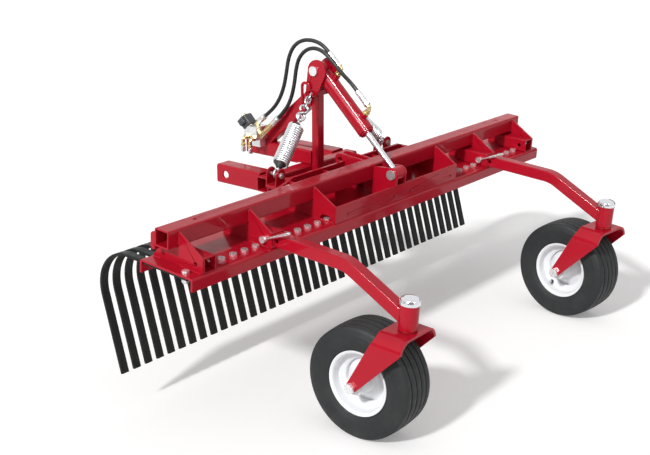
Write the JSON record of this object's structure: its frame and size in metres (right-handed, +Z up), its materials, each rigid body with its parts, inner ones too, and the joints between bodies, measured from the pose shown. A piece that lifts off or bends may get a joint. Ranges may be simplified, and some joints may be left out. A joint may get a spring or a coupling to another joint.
{
  "type": "landscape rake",
  "caption": "Hitch-carried rake head with curved spring tines, two castering gauge wheels on pinned arms, a hydraulic tilt cylinder and counterbalance springs, for raking thatch and soil.",
  "frame": {"origin": "middle of the two hitch pin bores, where the frame is carried by the machine", "axes": "+X along the rake head to the right seen from the working side, +Y toward the carrying machine, +Z up"},
  "size_m": [1.829, 1.145, 0.9587],
  "materials": {
    "red_paint": "gloss",
    "zinc": "satin",
    "tine_steel": "satin",
    "chrome": "polished",
    "cylinder_steel": "satin",
    "bronze": "satin",
    "brass": "satin",
    "valve_alloy": "satin",
    "coil_plastic": "matte",
    "hose_rubber": "satin",
    "tyre_rubber": "matte",
    "rim_white": "gloss"
  },
  "bodies": {
    "hitch_frame": {"mast": "red_paint", "mast_brace": "red_paint", "lower_bar": "red_paint", "base_beam": "red_paint", "hinge_lugs": "red_paint", "hinge_pins": "zinc", "hitch_sockets": "red_paint", "mast_ears": "red_paint", "mast_brackets": "red_paint", "upper_pin": "zinc", "spring_chains": "zinc", "spring_left": "zinc", "spring_right": "zinc", "valve_block": "valve_alloy", "valve_coil": "coil_plastic", "valve_fittings": "brass", "hose_cap_end": "hose_rubber", "hose_rod_end": "hose_rubber"},
    "rake_head": {"rake_channel": "red_paint", "upper_beam": "red_paint", "beam_stiffener": "red_paint", "gusset_plates": "red_paint", "arm_receivers_outer": "red_paint", "arm_receiver_left": "red_paint", "arm_receiver_right": "red_paint", "apron_plate": "red_paint", "cylinder_lugs": "red_paint", "rear_gussets": "red_paint", "rear_cross_plate": "red_paint", "spring_brackets": "red_paint", "spring_bolts": "zinc", "hinge_ears": "red_paint", "tines_left": "tine_steel", "tines_right": "tine_steel", "tine_bolts": "zinc", "tine_nuts": "zinc", "arm_left": "red_paint", "arm_right": "red_paint", "swivel_barrels": "red_paint", "swivel_bushings": "bronze", "swivel_caps": "chrome"},
    "cylinder_barrel": {"cylinder_tube": "red_paint", "cylinder_gland": "cylinder_steel", "port_fittings": "zinc"},
    "piston_rod": {"cylinder_rod": "chrome", "cylinder_piston": "cylinder_steel", "lower_pin": "zinc"},
    "caster_left": {"caster_fork_left": "red_paint", "axle_bolt_left": "zinc"},
    "wheel_left": {"rim_left": "rim_white", "tyre_left": "tyre_rubber", "hub_left": "rim_white"},
    "lock_left": {"lock_pin_left": "zinc"},
    "caster_right": {"caster_fork_right": "red_paint", "axle_bolt_right": "zinc"},
    "wheel_right": {"rim_right": "rim_white", "tyre_right": "tyre_rubber", "hub_right": "rim_white"},
    "lock_right": {"lock_pin_right": "zinc"}
  },
  "joints": [
    {"name": "head_tilt", "type": "hinge", "parent": "hitch_frame", "child": "rake_head", "pos_m": [0, -0.235, -0.0005], "axis": [1, 0, 0], "range_deg": [-10, 6], "deforming": ["spring_left", "spring_right"]},
    {"name": "cylinder_swing", "type": "hinge", "parent": "hitch_frame", "child": "cylinder_barrel", "pos_m": [0, -0.232, 0.351], "axis": [1, 0, 0], "range_deg": [-4.4, 2.7], "deforming": ["hose_cap_end", "hose_rod_end"]},
    {"name": "rod_slide", "type": "slide", "parent": "cylinder_barrel", "child": "piston_rod", "axis": [0, -0.7208, -0.6931], "range_m": [-0.046, 0.0275]},
    {"name": "caster_swivel_left", "type": "hinge", "parent": "rake_head", "child": "caster_left", "pos_m": [-0.5925, -1.01357, -0.13027], "axis": [0, -0.0689, 0.9976], "continuous": true},
    {"name": "wheel_spin_left", "type": "hinge", "parent": "caster_left", "child": "wheel_left", "pos_m": [-0.59637, -0.88768, -0.343], "axis": [0.9994, 0.0348, 0.0024], "continuous": true},
    {"name": "caster_swivel_right", "type": "hinge", "parent": "rake_head", "child": "caster_right", "pos_m": [0.5485, -1.01357, -0.13027], "axis": [0, -0.0689, 0.9976], "continuous": true},
    {"name": "wheel_spin_right", "type": "hinge", "parent": "caster_right", "child": "wheel_right", "pos_m": [0.55817, -0.88804, -0.34303], "axis": [0.9962, -0.0869, -0.006], "continuous": true},
    {"name": "lock_pull_left", "type": "slide", "parent": "rake_head", "child": "lock_left", "axis": [-1, 0, 0], "range_m": [0, 0.085]},
    {"name": "lock_pull_right", "type": "slide", "parent": "rake_head", "child": "lock_right", "axis": [-1, 0, 0], "range_m": [0, 0.085]}
  ],
  "couplings": [
    {"joint": "cylinder_swing", "follows": "head_tilt", "ratio": 0.4284},
    {"joint": "rod_slide", "follows": "head_tilt", "m_per_rad": 0.2548}
  ]
}
